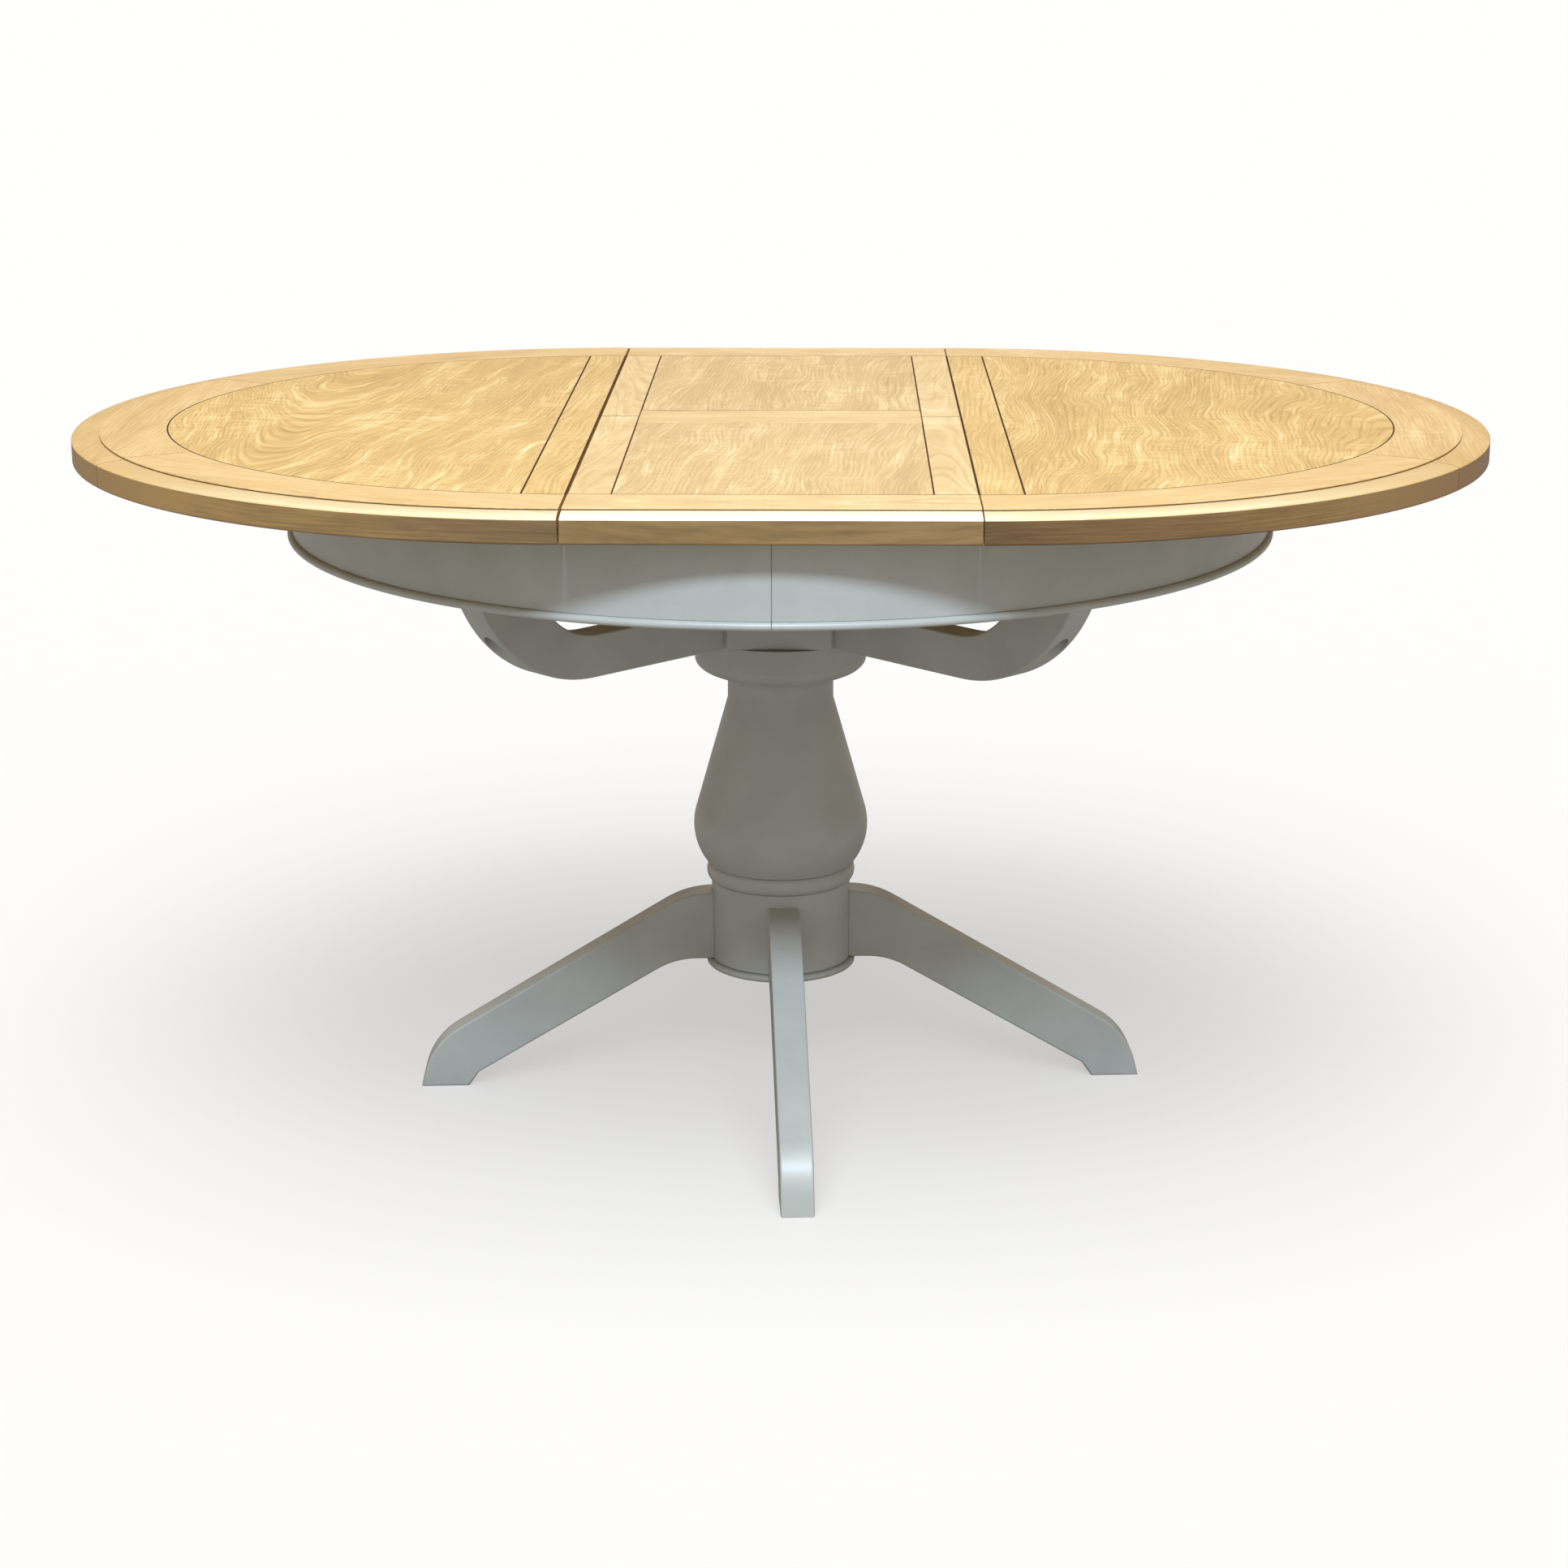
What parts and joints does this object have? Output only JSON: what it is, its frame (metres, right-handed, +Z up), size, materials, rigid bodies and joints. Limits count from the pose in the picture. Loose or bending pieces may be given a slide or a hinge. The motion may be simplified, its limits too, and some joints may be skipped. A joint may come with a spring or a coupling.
{
  "type": "extending dining table",
  "caption": "Round-to-oval extending pedestal table: sliding half-round oak tops, folding leaf, round painted apron, swept arms, turned column and splayed legs.",
  "frame": {"origin": "on the floor under the middle of the tabletop, on the pedestal axis", "axes": "+X along the extension towards the right half top, +Y to the back, +Z up"},
  "size_m": [1.552, 1.15, 0.78],
  "materials": {
    "oak_half_tops": "honey oak, satin lacquer",
    "oak_leaf": "paler oak, satin lacquer",
    "frame_paint": "grey-green satin paint on wood",
    "beech": "bare beech, planed",
    "zinc_steel": "zinc plated",
    "brass": "brass, machined"
  },
  "bodies": {
    "frame": {"left_apron": "frame_paint", "left_apron_bead": "frame_paint", "left_cross_board": "beech", "right_apron": "frame_paint", "right_apron_bead": "frame_paint", "right_cross_board": "beech", "front_leaf_panel": "oak_leaf", "front_leaf_left_stile": "oak_leaf", "front_leaf_right_stile": "oak_leaf", "front_leaf_end_rail": "oak_leaf", "front_leaf_fold_rail": "oak_leaf", "front_leaf_hinge_left": "brass", "front_leaf_hinge_right": "brass", "front_slide_rail": "beech", "front_splice_block": "beech", "front_left_arm": "frame_paint", "front_left_arm_bolt": "zinc_steel", "front_right_arm": "frame_paint", "front_right_arm_bolt": "zinc_steel", "back_slide_rail": "beech", "back_splice_block": "beech", "back_left_arm": "frame_paint", "back_left_arm_bolt": "zinc_steel", "back_right_arm": "frame_paint", "back_right_arm_bolt": "zinc_steel", "hub_block": "frame_paint", "pedestal_top_disc": "frame_paint", "pedestal_column": "frame_paint", "pedestal_bead_ring": "frame_paint", "leg_collar": "frame_paint", "base_ring": "frame_paint", "right_leg": "frame_paint", "back_leg": "frame_paint", "left_leg": "frame_paint", "front_leg": "frame_paint"},
    "left_top": {"left_field_panel": "oak_half_tops", "left_inner_stile": "oak_half_tops", "left_rim_front": "oak_half_tops", "left_rim_end": "oak_half_tops", "left_rim_back": "oak_half_tops", "left_runner_front": "beech", "left_runner_back": "beech"},
    "right_top": {"right_field_panel": "oak_half_tops", "right_inner_stile": "oak_half_tops", "right_rim_front": "oak_half_tops", "right_rim_end": "oak_half_tops", "right_rim_back": "oak_half_tops", "right_runner_front": "beech", "right_runner_back": "beech"},
    "back_leaf": {"back_leaf_panel": "oak_leaf", "back_leaf_left_stile": "oak_leaf", "back_leaf_right_stile": "oak_leaf", "back_leaf_end_rail": "oak_leaf", "back_leaf_fold_rail": "oak_leaf", "back_leaf_hinge_left": "brass", "back_leaf_hinge_right": "brass"},
    "left_button_front": {"left_turn_button_front": "zinc_steel"},
    "left_button_back": {"left_turn_button_back": "zinc_steel"},
    "right_button_front": {"right_turn_button_front": "zinc_steel"},
    "right_button_back": {"right_turn_button_back": "zinc_steel"}
  },
  "joints": [
    {"name": "left_top_slide", "type": "slide", "parent": "frame", "child": "left_top", "axis": [-1, 0, 0], "range_m": [0, 0.06]},
    {"name": "right_top_slide", "type": "slide", "parent": "frame", "child": "right_top", "axis": [1, 0, 0], "range_m": [0, 0.06]},
    {"name": "back_leaf_fold", "type": "hinge", "parent": "frame", "child": "back_leaf", "pos_m": [0, 0, 0.78], "axis": [1, 0, 0], "range_deg": [0, 178]},
    {"name": "left_button_front_turn", "type": "hinge", "parent": "left_top", "child": "left_button_front", "pos_m": [-0.228, -0.345, 0.7552], "axis": [0, 0, 1], "range_deg": [0, 90]},
    {"name": "left_button_back_turn", "type": "hinge", "parent": "left_top", "child": "left_button_back", "pos_m": [-0.228, 0.345, 0.7552], "axis": [0, 0, -1], "range_deg": [0, 90]},
    {"name": "right_button_front_turn", "type": "hinge", "parent": "right_top", "child": "right_button_front", "pos_m": [0.228, -0.345, 0.7552], "axis": [0, 0, -1], "range_deg": [0, 90]},
    {"name": "right_button_back_turn", "type": "hinge", "parent": "right_top", "child": "right_button_back", "pos_m": [0.228, 0.345, 0.7552], "axis": [0, 0, 1], "range_deg": [0, 90]}
  ]
}
